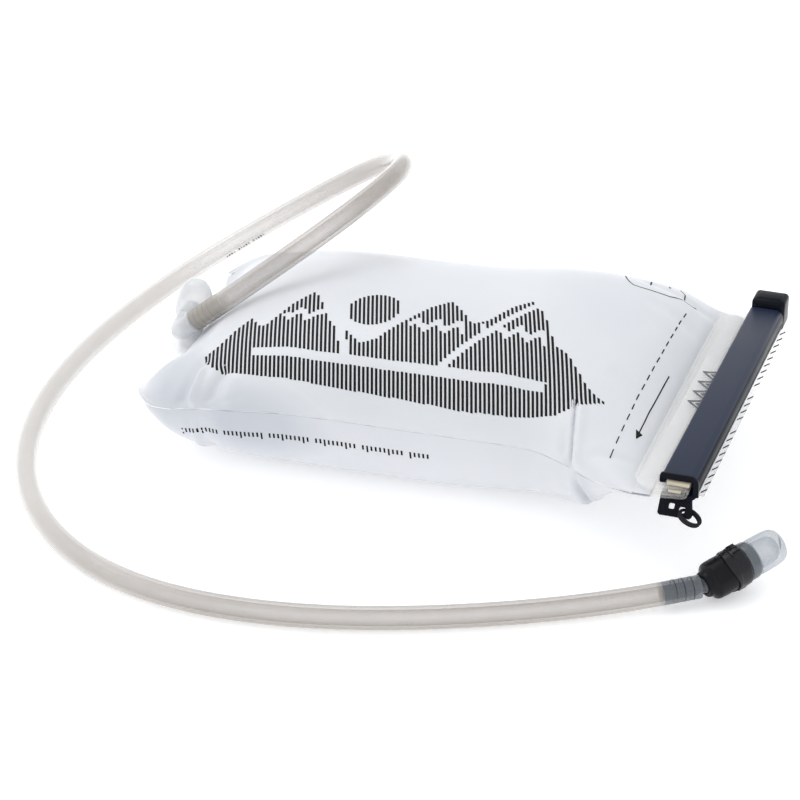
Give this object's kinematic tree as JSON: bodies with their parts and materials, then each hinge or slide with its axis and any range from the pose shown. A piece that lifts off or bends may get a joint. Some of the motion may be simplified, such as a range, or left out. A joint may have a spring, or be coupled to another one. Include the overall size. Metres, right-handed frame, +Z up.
{
  "type": "hydration bladder",
  "caption": "Full slide-top hydration bladder lying on its back panel, with fold-over slide closure, domed bottom port, clear drinking hose and twist shut-off bite valve",
  "frame": {"origin": "centre of the footprint of the reservoir and its closure, on the surface the bag lies on; the hose and what it carries are not counted", "axes": "+X from the bottom port towards the slide closure, +Y along the slide closure towards its closed end, +Z up"},
  "size_m": [0.3485, 0.3103, 0.1018],
  "materials": {
    "film_clear": "frosted translucent TPU film, soft satin",
    "film_white": "translucent TPU film with a plain hatched print",
    "rail_cream": "cream extruded sealing strip, satin",
    "slider_black": "blue-black satin moulded plastic",
    "cord_black": "braided black polyester cord",
    "boot_clear": "soft translucent TPU moulding",
    "elbow_clear": "clear polished plastic, slightly milky",
    "hose_clear": "clear TPU tube with a warm grey tint, glossy",
    "smoke_grey": "smoke-grey translucent plastic, glossy",
    "valve_black": "black satin moulded plastic",
    "seal_rubber": "black nitrile O-ring",
    "silicone_clear": "clear silicone, soft gloss"
  },
  "bodies": {
    "reservoir": {"front_film_panel": "film_clear", "back_film_panel": "film_clear", "inner_rail": "rail_cream", "upper_rail": "rail_cream", "header_strip": "film_white", "port_boot": "boot_clear", "port_oring": "seal_rubber", "port_elbow": "elbow_clear", "drinking_hose": "hose_clear", "valve_stem": "smoke_grey", "valve_housing": "valve_black"},
    "slider": {"slider_channel": "slider_black", "slider_end_cap": "slider_black", "tether_loop": "cord_black"},
    "shutoff": {"shutoff_ring": "valve_black", "valve_collar": "smoke_grey", "bite_tip": "silicone_clear", "shutoff_core": "smoke_grey", "core_oring_rear": "seal_rubber", "core_oring_front": "seal_rubber"}
  },
  "joints": [
    {"name": "slider_slide", "type": "slide", "parent": "reservoir", "child": "slider", "axis": [0, 1, 0], "range_m": [0, 0.165], "deforming": ["header_strip"]},
    {"name": "shutoff_twist", "type": "hinge", "parent": "reservoir", "child": "shutoff", "pos_m": [0.13465, -0.09719, 0.0077], "axis": [0.628, 0.748, 0.215], "range_deg": [0, 90]}
  ]
}
